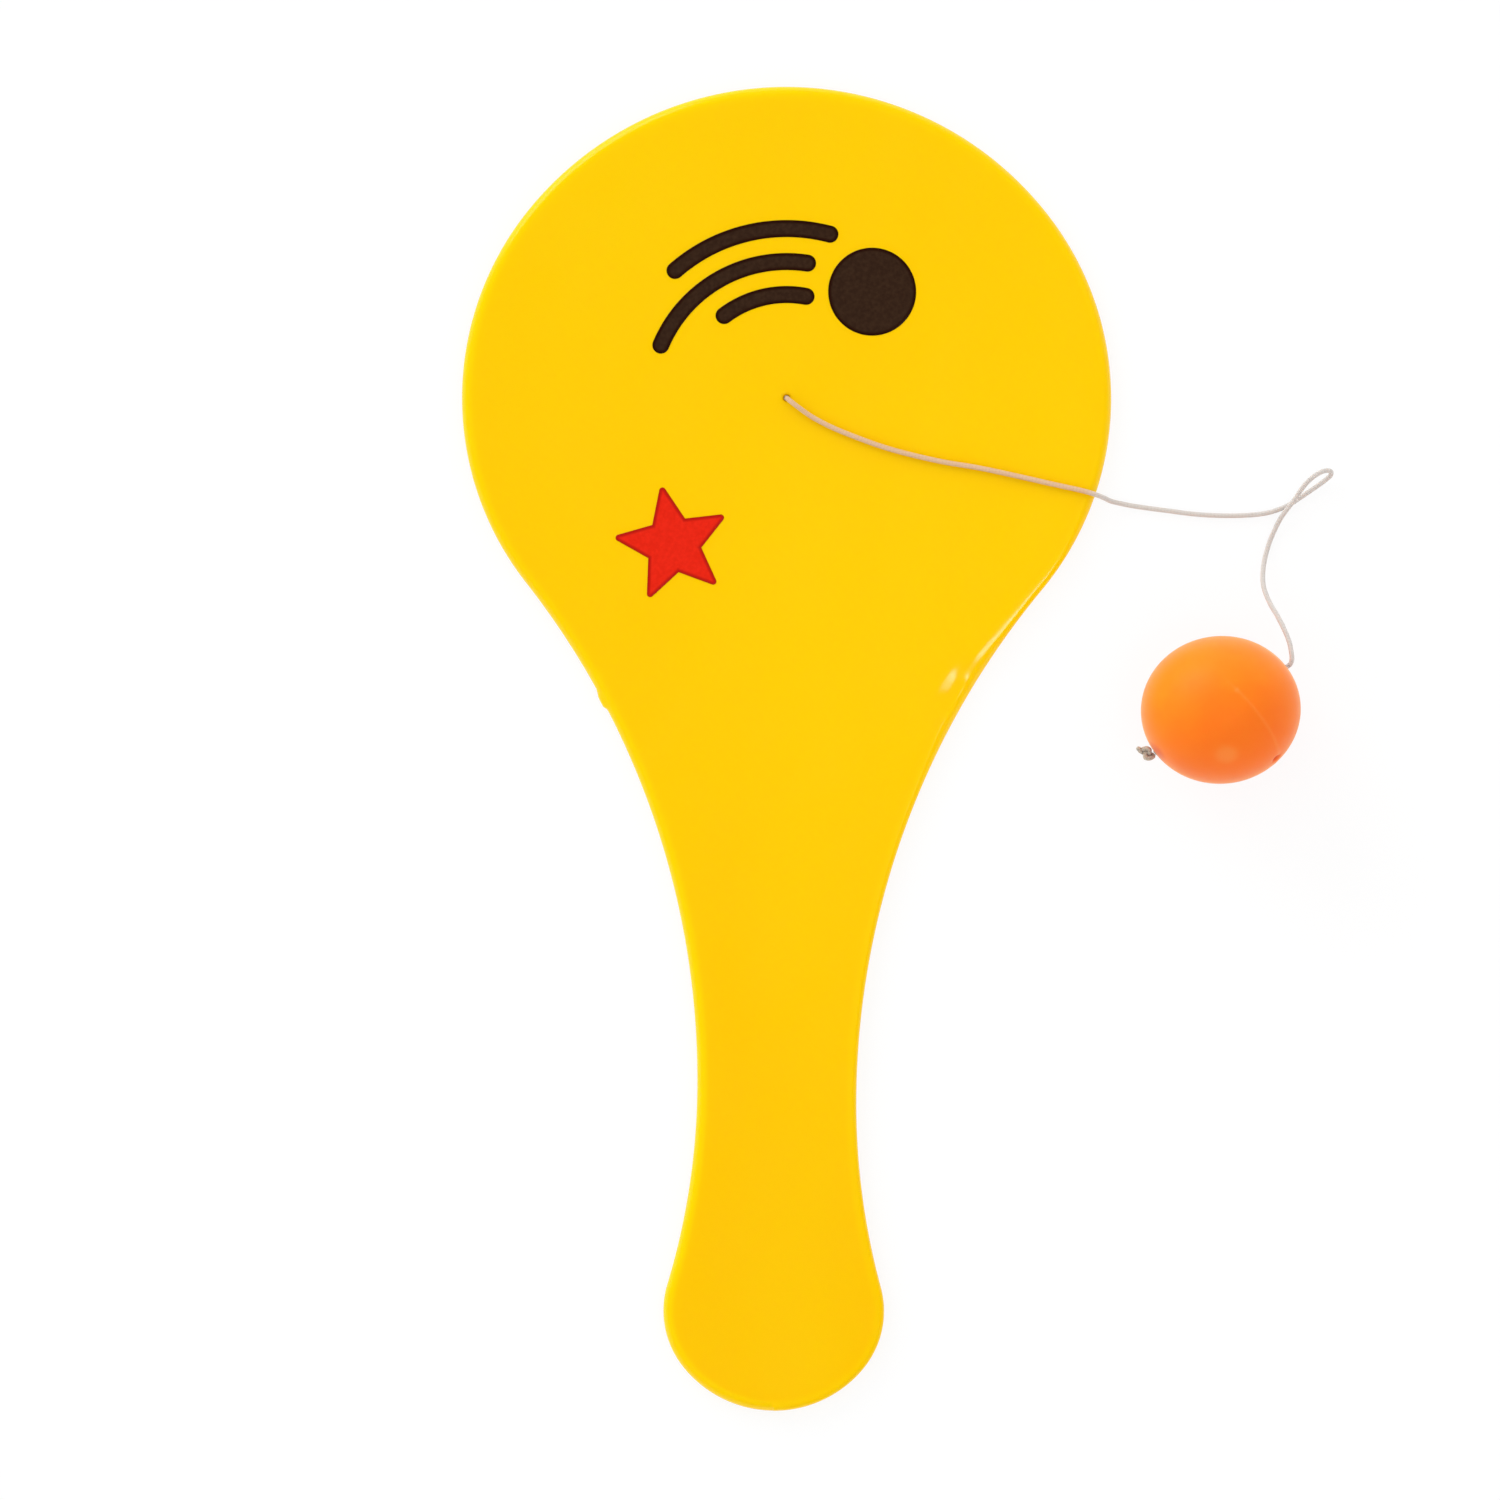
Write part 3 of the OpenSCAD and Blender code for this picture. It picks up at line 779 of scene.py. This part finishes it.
def make_paddle():
    """The paddle: rings down its edge, its face and its back, and the hole with its recess cut through."""
    outline = outline_points()
    profiles = [edge_profile(point.x, point.y) for point, normal in outline]
    gate = gate_place()
    bm = bmesh.new()
    painted_rim_light = bm.verts.layers.float.new("painted_rim_light")
    rings = []
    for level in range(len(profiles[0])):
        ring = []
        for (point, normal), profile in zip(outline, profiles):
            inset, height = profile[level]
            at = point + (gate_rise(point, height, gate) - inset) * normal
            if level < BEVEL_RINGS:
                height += face_lift(at.x, at.y) * fade(inset, EDGE_R, BEVEL_START)
            vert = bm.verts.new((at.x, at.y, height))
            # Painted light: the rim's paler band is full on the left, towards the key light, and weaker on the
            # right
            lit = PAINTED_RIM_LIGHT_RIGHT_SHARE + (1 - PAINTED_RIM_LIGHT_RIGHT_SHARE) * within(at.x, PAINTED_RIM_LIGHT_LEFT)
            vert[painted_rim_light] = within(inset, PAINTED_RIM_LIGHT_BAND) * lit
            ring.append(vert)
        rings.append(ring)
    join_rings(bm, rings, closed_ends=False)
    close_across(bm, rings[0], FACE_COLUMNS, lambda x, y: PLATE_T + face_lift(x, y))
    close_across(bm, rings[-1], BACK_COLUMNS, lambda x, y: 0.0)
    paddle = finish_mesh("moulded_paddle", bm, yellow_polypropylene())

    hole, recess, throat = HOLE_D / 2, RECESS_D / 2, CORD_R + THROAT_GAP
    web_z = PLATE_T - WEB_T
    profile = [
        (recess + RECESS_CHAMFER, -CUT),
        (recess + RECESS_CHAMFER, 0.0),
        (recess, RECESS_CHAMFER),
        (recess, web_z - RECESS_CORNER),
        (recess - RECESS_CORNER, web_z),
        (hole + RECESS_CORNER / 2, web_z),
        (throat, web_z + RECESS_CORNER),
        (throat, PLATE_T + THROAT_TOP),
    ]
    profile += [(hole + wider, PLATE_T + rise) for wider, rise in FUNNEL]
    # An odd number of sides keeps its points off the middle line, where the paddle has a row of its own
    cut_out(paddle, finish_mesh("hole_cutter", lathe(profile, sides=63), paddle.data.materials[0]))
    return paddle


# Profile of an ink film: how far in from its edge, height over the face, and share of the inner colour
INK_PROFILE = (
    (0.0, -0.06, 0.0), (0.0, 0.03, 0.0), (0.05, 0.065, 0.0), (0.35, 0.08, 0.15), (0.75, 0.07, 1.0),
)
# Dot and strokes: the dot's reach as a share of the blade's half width, its direction, and for each stroke
# how many pitches it is further out, and the directions of its ends
ORBIT_SHARE = 0.42
DOT_ANGLE = 52
DOT_STEPS = 96
STROKES = ((-1, 80, 128), (0, 82, 158), (1, 76, 132))
STROKE_STEP = 0.5
STROKE_END_STEPS = 15
# Star: its reach as a share of the blade's half width, its direction, turn and tips, and the radius of its
# waist as a share of that to its tips
STAR_REACH_SHARE = 0.57
STAR_ANGLE = 233
STAR_TURN = 102
STAR_TIPS = 5
STAR_TIP_STEPS = 10
STAR_TIP_LEAST = 0.001
STAR_WAIST_SHARE = 0.45


def ink_film(bm, outline, fill):
    """A film of ink. outline(inset) gives its closed edge, drawn in by inset, as points in x and y."""
    layer = bm.verts.layers.float["from_rim"]
    rings = []
    for inset, height, from_rim in INK_PROFILE:
        ring = []
        for spot in outline(inset):
            vert = bm.verts.new((spot.x, spot.y, PLATE_T + height + face_lift(spot.x, spot.y)))
            vert[layer] = from_rim
            ring.append(vert)
        rings.append(ring)
    join_rings(bm, rings, closed_ends=False)
    for ring, order in ((rings[0], -1), (rings[-1], 1)):
        fill(bm, ring[::order])


def fill_across(bm, ring):
    """Fills a long ring with strips between its two sides."""
    last = len(ring) - 1
    for i in range(len(ring) // 2 - 1):
        bm.faces.new((ring[i], ring[i + 1], ring[last - 1 - i], ring[last - i]))


def fill_round(bm, ring):
    """Fills a ring with a fan about its middle."""
    layer = bm.verts.layers.float["from_rim"]
    middle = bm.verts.new(sum((v.co for v in ring), Vector()) / len(ring))
    middle[layer] = ring[0][layer]
    for i in range(len(ring)):
        bm.faces.new((ring[i], ring[(i + 1) % len(ring)], middle))


def arc(centre, radius, first, last, steps):
    """Points of an arc from one direction to another."""
    return [centre + around(first + (last - first) * i / steps, radius) for i in range(steps + 1)]


def stroke_outline(radius, first, last, inset):
    """Outline of a curved stroke with round ends, from the middle of its first end on."""
    half = STROKE_W / 2 - inset
    steps = round(math.radians(last - first) * radius / STROKE_STEP)
    outer = arc(Vector(), radius + half, first, last, steps)
    inner = arc(Vector(), radius - half, last, first, steps)
    end = arc(around(last, radius), half, last, last + 180, STROKE_END_STEPS)
    start = arc(around(first, radius), half, first + 180, first + 360, STROKE_END_STEPS)
    middle = STROKE_END_STEPS // 2 + 1
    return start[middle:-1] + outer + end[1:-1] + inner + start[1:middle]


def star_outline(centre, corners, apothem, inset):
    """Outline of a star with rounded tips. apothem is the distance of its sides from its middle."""
    core_share = (apothem - max(STAR_TIP_R, inset)) / apothem
    # A tip whose round is used up keeps a hair of it, so that every outline has as many points
    grow = max(STAR_TIP_R - inset, STAR_TIP_LEAST)
    ring = []
    for i, corner in enumerate(corners):
        before = (corner - corners[i - 1]).normalized()
        after = (corners[(i + 1) % len(corners)] - corner).normalized()
        out_before = math.degrees(math.atan2(-before.x, before.y))
        out_after = math.degrees(math.atan2(-after.x, after.y))
        core = centre + corner * core_share
        if i % 2 == 0:
            turn = (out_after - out_before) % 360
            ring += arc(core, grow, out_before, out_before + turn, STAR_TIP_STEPS)
        else:
            middle = (around(out_before) + around(out_after)).normalized()
            ring.append(core + middle * grow / middle.dot(around(out_before)))
    return ring


def make_dark_print():
    """The dark dot with its three curved strokes."""
    bm = bmesh.new()
    bm.verts.layers.float.new("from_rim")
    orbit = ORBIT_SHARE * BLADE_W / 2
    centre = around(DOT_ANGLE, orbit)
    ink_film(bm, lambda inset: arc(centre, DOT_R - inset, 0, 360, DOT_STEPS)[:-1], fill_round)
    for pitches, first, last in STROKES:
        radius = orbit + pitches * STROKE_PITCH
        ink_film(bm, lambda inset: stroke_outline(radius, first, last, inset), fill_across)
    ink = pad_ink("pad_printing_ink_dark", "#321F14", "#3B2719", rim="#260A02")
    return finish_mesh("dark_print", bm, ink)


def make_red_print():
    """The red star."""
    bm = bmesh.new()
    bm.verts.layers.float.new("from_rim")
    centre = around(STAR_ANGLE, STAR_REACH_SHARE * BLADE_W / 2)
    corners = []
    for i in range(2 * STAR_TIPS):
        reach = STAR_R if i % 2 == 0 else STAR_R * STAR_WAIST_SHARE
        corners.append(around(STAR_TURN + 180 * i / STAR_TIPS, reach))
    side = (corners[1] - corners[0]).normalized()
    apothem = abs(side.cross(corners[0]).z)
    ink_film(bm, lambda inset: star_outline(centre, corners, apothem, inset), fill_round)
    ink = pad_ink("pad_printing_ink_red", "#E01E04", "#EA2309", rim="#B21003")
    return finish_mesh("red_print", bm, ink)


# Sizes of the ball's form and of the marks on it, the inputs of its nodes
BALL_SIZES = {
    "Diameter": BALL_D,
    "Short diameter": BALL_SHORT_D,
    "Seam half width": 0.3,
    "Seam rise": 0.03,
    "Gate mark radius": 1.9,
    "Gate mark softness": 0.7,
    "Gate mark rise": -0.04,
    "Chip radius": 1.35,
    "Chip rise": -0.5,
    "Fleck radius": 0.7,
    "Bore shade radius": 3.0,
}
# The seam's axis, the side on which it shows, and how far towards that side it starts and is full
SEAM_AXIS = Vector((0.666, 0.682, -0.3)).normalized()
SEAM_SIDE = Vector((1, -1, 0))
SEAM_FADES = (-0.45, 0.0)
# Directions of the marks from the ball's middle, and how much each way counts: the gate mark, a chip where the
# seam's flash was cut off, a pale fleck at the seam's upper end, and a ring of painted shade round the bore's far
# mouth, under the knot, longer from top to bottom than from side to side
MARKS = (
    (Vector((0.06, -0.58, 0.81)).normalized(), (1, 1, 1)),
    (Vector((0.724, -0.622, 0.3)).normalized(), (1, 1, 1)),
    (Vector((0.17, 0.25, 0.953)).normalized(), (1, 1, 1)),
    (-BORE_DIR, (1, 1, 0.4)),
)
# Inputs with the radii of the last three, and the radii within which they are at their full
MARK_RADII = ("Chip radius", "Fleck radius", "Bore shade radius")
MARK_FULL_RADII = (0.2, 0.2, 1.2)
# How much paler each mark is
GATE_MARK_PALE = 0.4
SEAM_PALE = 0.2
FLECK_PALE = 0.45
# Bore: radii of its mouth, and how far they are past the ball's surface
BORE_MOUTH = ((1.6, CUT), (0.95, 0.05), (0.75, -0.12))
BORE_MOUTH_DEPTH = 0.5


def oval_reach(tree, size, outward):
    """How far the oval's surface is from its middle in the direction outward."""
    turned = add(
        tree,
        "ShaderNodeVectorRotate",
        {"rotation_type": "Z_AXIS"},
        {"Angle": -math.radians(BALL_TURN)},
        {"Vector": outward},
    )
    widths = add(
        tree,
        "ShaderNodeCombineXYZ",
        links={"X": size["Diameter"], "Y": size["Short diameter"], "Z": size["Diameter"]},
    )
    shares = add(tree, "ShaderNodeVectorMath", {"operation": "DIVIDE"}, links={0: turned, 1: widths})
    length = add(tree, "ShaderNodeVectorMath", {"operation": "LENGTH"}, links={0: shares})
    return add(tree, "ShaderNodeMath", {"operation": "DIVIDE"}, {0: 0.5}, {1: length.outputs["Value"]})


def seam_share(tree, size, outward, reach):
    """The seam, a low ridge round the ball that shows on one side: 1 on its crest and 0 off it."""
    off = add(tree, "ShaderNodeVectorMath", {"operation": "DOT_PRODUCT"}, {1: SEAM_AXIS}, {0: outward})
    off = add(tree, "ShaderNodeMath", {"operation": "MULTIPLY"}, links={0: off.outputs["Value"], 1: reach})
    off = add(tree, "ShaderNodeMath", {"operation": "DIVIDE"}, links={0: off, 1: size["Seam half width"]})
    square = add(tree, "ShaderNodeMath", {"operation": "MULTIPLY"}, links={0: off, 1: off})
    bell = add(tree, "ShaderNodeMath", {"operation": "POWER"}, {0: math.exp(-1)}, {1: square})
    side = add(tree, "ShaderNodeVectorMath", {"operation": "DOT_PRODUCT"}, {1: SEAM_SIDE}, {0: outward})
    shown = add(
        tree,
        "ShaderNodeMapRange",
        {"interpolation_type": "SMOOTHSTEP"},
        {"From Min": SEAM_FADES[0], "From Max": SEAM_FADES[1]},
        {"Value": side.outputs["Value"]},
    )
    return add(tree, "ShaderNodeMath", {"operation": "MULTIPLY"}, links={0: bell, 1: shown})


def mark_shares(tree, size, outward, reach):
    """The gate mark, the chip, the fleck and the ring of painted shade round the bore's mouth: 1 in each and 0 off
    it.
    """
    distances = []
    for place, ways in MARKS:
        apart = add(
            tree, "ShaderNodeVectorMath", {"operation": "MULTIPLY_ADD"}, {1: ways, 2: -place}, {0: outward}
        )
        apart = add(tree, "ShaderNodeVectorMath", {"operation": "LENGTH"}, links={0: apart}).outputs["Value"]
        distances.append(add(tree, "ShaderNodeMath", {"operation": "MULTIPLY"}, links={0: apart, 1: reach}))
    gate, *others = distances
    past = add(
        tree, "ShaderNodeMath", {"operation": "SUBTRACT"}, links={0: gate, 1: size["Gate mark radius"]}
    )
    past = add(
        tree, "ShaderNodeMath", {"operation": "DIVIDE"}, links={0: past, 1: size["Gate mark softness"]}
    )
    past = add(tree, "ShaderNodeMath", {"operation": "TANH"}, links={0: past})
    shares = [add(tree, "ShaderNodeMath", {"operation": "MULTIPLY_ADD"}, {1: -0.5, 2: 0.5}, {0: past})]
    for distance, radius, full_r in zip(others, MARK_RADII, MARK_FULL_RADII):
        share = add(
            tree,
            "ShaderNodeMapRange",
            {"interpolation_type": "SMOOTHSTEP"},
            {"From Max": full_r},
            {"Value": distance, "From Min": size[radius]},
        )
        shares.append(share)
    return shares


def moulded_ball_nodes(material):
    """Geometry nodes of the ball: a sphere drawn to its oval form, with its seam and marks."""
    tree = bpy.data.node_groups.new("moulded_ball", "GeometryNodeTree")
    tree.interface.new_socket("Mesh", in_out="OUTPUT", socket_type="NodeSocketGeometry")
    for name in BALL_SIZES:
        tree.interface.new_socket(name, in_out="INPUT", socket_type="NodeSocketFloat")
    size = add(tree, "NodeGroupInput").outputs

    # A sphere of radius 1 with its poles on the seam's axis, so that a point's place is also its direction
    sphere = add(tree, "GeometryNodeMeshUVSphere", inputs={"Segments": 220, "Rings": 180, "Radius": 1.0})
    turn = SEAM_AXIS.to_track_quat("Z", "Y").to_euler()
    mesh = add(tree, "GeometryNodeTransform", inputs={"Rotation": turn}, links={"Geometry": sphere})
    outward = add(tree, "GeometryNodeInputPosition")
    reach = oval_reach(tree, size, outward)
    seam = seam_share(tree, size, outward, reach)
    mark, chip, fleck, painted_hollow_shade = mark_shares(tree, size, outward, reach)

    # Colour: the seam, the gate mark and the fleck are paler, and the chip and the ring round the bore deeper, as
    # painted shade in their hollows
    pale = add(tree, "ShaderNodeMath", {"operation": "MULTIPLY"}, {1: GATE_MARK_PALE}, {0: mark})
    for share, strength in ((seam, SEAM_PALE), (fleck, FLECK_PALE)):
        tint = add(tree, "ShaderNodeMath", {"operation": "MULTIPLY"}, {1: strength}, {0: share})
        pale = add(tree, "ShaderNodeMath", {"operation": "MAXIMUM"}, links={0: tint, 1: pale})
    deep = add(tree, "ShaderNodeMath", {"operation": "MAXIMUM"}, links={0: chip, 1: painted_hollow_shade})
    for name, share in (("mould_mark", pale), ("painted_hollow_shade", deep)):
        mesh = add(
            tree,
            "GeometryNodeStoreNamedAttribute",
            {"data_type": "FLOAT", "domain": "POINT"},
            {"Name": name},
            {"Geometry": mesh, "Value": share},
        )

    # Form: the oval, with the rise of each mark
    for share, rise in ((seam, "Seam rise"), (mark, "Gate mark rise"), (chip, "Chip rise")):
        reach = add(
            tree, "ShaderNodeMath", {"operation": "MULTIPLY_ADD"}, links={0: share, 1: size[rise], 2: reach}
        )
    place = add(
        tree, "ShaderNodeVectorMath", {"operation": "MULTIPLY_ADD"}, {2: BALL_AT}, {0: outward, 1: reach}
    )
    mesh = add(tree, "GeometryNodeSetPosition", links={"Geometry": mesh, "Position": place})
    mesh = add(tree, "GeometryNodeRealizeInstances", links={"Geometry": mesh})
    mesh = add(tree, "GeometryNodeSetMaterial", inputs={"Material": material}, links={"Geometry": mesh})
    add(tree, "NodeGroupOutput", links={"Mesh": mesh})
    return tree


def make_ball():
    """The ball, with the bore for the cord cut through it."""
    ball = bpy.data.objects.new("rubber_ball", bpy.data.meshes.new("rubber_ball"))
    scene.collection.objects.link(ball)
    rubber = orange_rubber()
    form = ball.modifiers.new("form", "NODES")
    form.node_group = moulded_ball_nodes(rubber)
    for socket in form.node_group.interface.items_tree:
        if socket.in_out == "INPUT":
            form[socket.identifier] = BALL_SIZES[socket.name]
    carry_out_modifiers(ball)
    smooth_in_metres(ball.data)

    mouth = [(radius, BORE_REACH + past) for radius, past in BORE_MOUTH]
    mouth.append((CORD_R + BORE_CLEARANCE, BORE_REACH - BORE_MOUTH_DEPTH))
    profile = [(radius, -height) for radius, height in mouth] + mouth[::-1]
    to_bore = Matrix.Translation(BALL_AT) @ BORE_DIR.to_track_quat("Z", "Y").to_matrix().to_4x4()
    cut_out(ball, finish_mesh("bore_cutter", lathe(profile, sides=40, to_place=to_bore), rubber))
    return ball


# Each piece, with the body that it rides on, the node that it stands for, and its material slot
for piece, body, node, slot in (
    (make_paddle(), "paddle", "paddle", "paddle_plastic"),
    (make_dark_print(), "paddle", "print_dark", "dark_ink"),
    (make_red_print(), "paddle", "print_red", "red_ink"),
    (make_cord_inside_blade(), "anchor", "cord_in_paddle", "elastic"),
    (make_blade_knot(), "anchor", "paddle_knot", "elastic"),
    (make_ball_knot(), "cord_end", "ball_knot", "elastic"),
    (make_cord_inside_ball(), "cord_end", "cord_in_ball", "elastic"),
    (make_ball(), "ball", "ball", "ball_rubber"),
):
    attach(piece, body)
    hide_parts(node)


# Share of plain white that the floor shows
FLOOR_SHOWN_SHARE = 0.85
# Direction of the key light, and of the snooted lamp from the place that it aims at, in metres
KEY_FROM = around(128, 0.927, 0.375)
SNOOT_AIMS_AT = mm(Vector((35, -48, 0)))
SNOOT_ANGLE = -39
SNOOT_FROM_VERTICAL = math.radians(18)


def shown_rays(tree):
    """1 for what the camera sees, straight or through gloss and glass, and 0 for the light on things."""
    path = add(tree, "ShaderNodeLightPath").outputs
    rays = path["Is Camera Ray"]
    for kind in ("Is Glossy Ray", "Is Transmission Ray"):
        rays = add(tree, "ShaderNodeMath", {"operation": "MAXIMUM"}, links={0: rays, 1: path[kind]})
    return rays


def make_floor():
    # White card: matt, and near the camera's white, with the object's soft shadow on it
    bm = bmesh.new()
    bmesh.ops.create_grid(bm, x_segments=1, y_segments=1, size=6.0)
    mesh = bpy.data.meshes.new("white_card")
    bm.to_mesh(mesh)
    bm.free()
    material = bpy.data.materials.new("matt_white_card")
    tree = emptied_tree(material)
    card = add(tree, "ShaderNodeBsdfDiffuse", inputs={"Color": linear("#FFFFFF")})
    shine = add(tree, "ShaderNodeEmission", inputs={"Color": linear("#FFFFFF"), "Strength": 1.0})
    share = add(
        tree, "ShaderNodeMath", {"operation": "MULTIPLY"}, {1: FLOOR_SHOWN_SHARE}, {0: shown_rays(tree)}
    )
    mixed = add(tree, "ShaderNodeMixShader", links={0: share, 1: card, 2: shine})
    add(tree, "ShaderNodeOutputMaterial", links={"Surface": mixed})
    mesh.materials.append(material)
    floor = bpy.data.objects.new("white_card", mesh)
    scene.collection.objects.link(floor)
    # A hair below the object, so that its flat back doesn't share the floor's plane
    floor.location.z = -0.0002


def light_from(name, kind, direction):
    """A lamp that shines from direction."""
    lamp = bpy.data.objects.new(name, bpy.data.lights.new(name, kind))
    scene.collection.objects.link(lamp)
    lamp.rotation_mode = "QUATERNION"
    lamp.rotation_quaternion = direction.to_track_quat("Z", "Y")
    return lamp


def make_light():
    world = bpy.data.worlds.new("white_studio")
    scene.world = world
    tree = emptied_tree(world)
    fill = add(tree, "ShaderNodeBackground", inputs={"Color": linear("#FFFFFF"), "Strength": 0.94})
    # The studio darkens from its white walls to its ceiling, so gloss that faces up stays clear of haze
    place = add(tree, "ShaderNodeTexCoord")
    up = add(tree, "ShaderNodeSeparateXYZ", links={0: place.outputs["Generated"]})
    ceiling = add(
        tree,
        "ShaderNodeValToRGB",
        links={"Fac": up.outputs["Z"]},
        stops=((0.1, "#FFFFFF"), (0.4, "#5A5A5A"), (0.85, "#101010")),
    )
    shown = add(tree, "ShaderNodeBackground", inputs={"Strength": 1.0}, links={"Color": ceiling})
    mixed = add(tree, "ShaderNodeMixShader", links={0: shown_rays(tree), 1: fill, 2: shown})
    add(tree, "ShaderNodeOutputWorld", links={"Surface": mixed})

    # Key: a wide soft source, low on the upper left, which brightens the edges there more than the flat face
    key = light_from("soft_key", "SUN", KEY_FROM)
    key.data.energy = 0.34 * math.pi
    key.data.angle = math.radians(40)

    # A snooted lamp on the right, whose narrow beam only the soft bevel beside the neck catches
    aim = around(SNOOT_ANGLE, math.sin(SNOOT_FROM_VERTICAL), math.cos(SNOOT_FROM_VERTICAL))
    snoot = light_from("snooted_lamp", "SPOT", aim)
    snoot.data.shadow_soft_size = 0.06
    snoot.data.spot_size = math.radians(9)
    snoot.data.spot_blend = 0.8
    snoot.data.energy = 2.2
    snoot.location = SNOOT_AIMS_AT + aim
    snoot.visible_camera = False


make_floor()
make_light()
